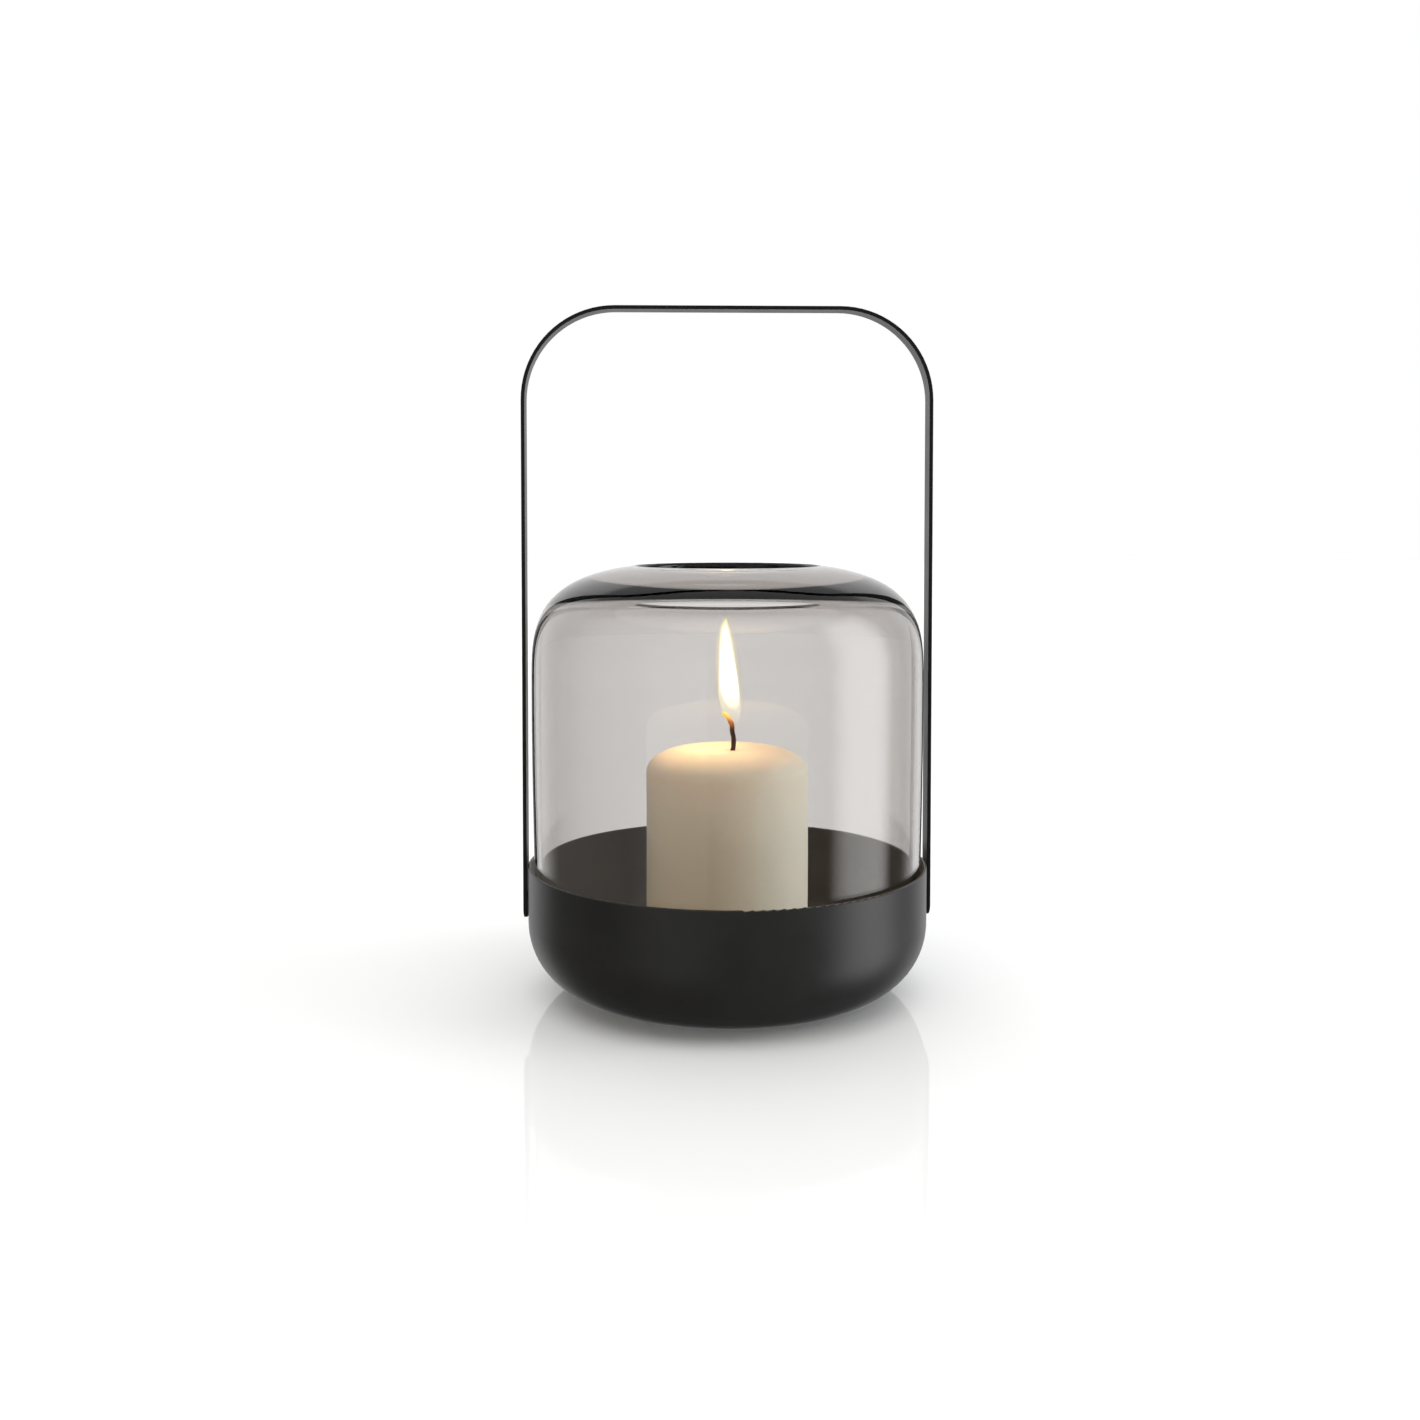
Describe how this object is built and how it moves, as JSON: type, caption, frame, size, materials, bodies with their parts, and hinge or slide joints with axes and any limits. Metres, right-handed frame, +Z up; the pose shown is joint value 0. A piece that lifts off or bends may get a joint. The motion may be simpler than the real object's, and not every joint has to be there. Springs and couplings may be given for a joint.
{
  "type": "candle lantern",
  "caption": "Candle lantern with a black steel bowl, a loose smoke-glass shade open at the top, a flat strap handle that swings and a short pillar candle.",
  "frame": {"origin": "on the table, under the centre of the bowl", "axes": "+Z up; X parallel to the line through the two handle pivots; Y across the flat of the strap handle"},
  "size_m": [0.176, 0.172, 0.294],
  "materials": {
    "bowl_coating": "satin black powder coat",
    "handle_coating": "satin black powder coat",
    "rivet_steel": "steel under satin black powder coat",
    "bush_nylon": "plain black nylon",
    "foot_silicone": "matte silicone",
    "smoke_glass": "polished, smoke grey, blown",
    "wax": "smooth ivory wax, slightly translucent",
    "wick_cotton": "charred braided cotton",
    "tinned_steel": "thin tinned sheet"
  },
  "bodies": {
    "base": {"bowl": "bowl_coating", "bowl_foot_1": "foot_silicone", "bowl_foot_2": "foot_silicone", "bowl_foot_3": "foot_silicone", "pivot_bush_right": "bush_nylon", "pivot_bush_left": "bush_nylon"},
    "handle": {"handle_strap": "handle_coating", "handle_rivet_right": "rivet_steel", "handle_rivet_left": "rivet_steel"},
    "shade": {"glass_shade": "smoke_glass"},
    "candle": {"candle_wax": "wax", "candle_wick": "wick_cotton", "wick_sustainer": "tinned_steel"}
  },
  "joints": [
    {"name": "handle_swing", "type": "hinge", "parent": "base", "child": "handle", "pos_m": [0, 0, 0.037], "axis": [1, 0, 0], "range_deg": [-95, 95]},
    {"name": "glass_lift", "type": "slide", "parent": "base", "child": "shade", "axis": [0, 0, 1], "range_m": [0, 0.06]},
    {"name": "candle_lift", "type": "slide", "parent": "base", "child": "candle", "axis": [0, 0, 1], "range_m": [0, 0.165]}
  ]
}
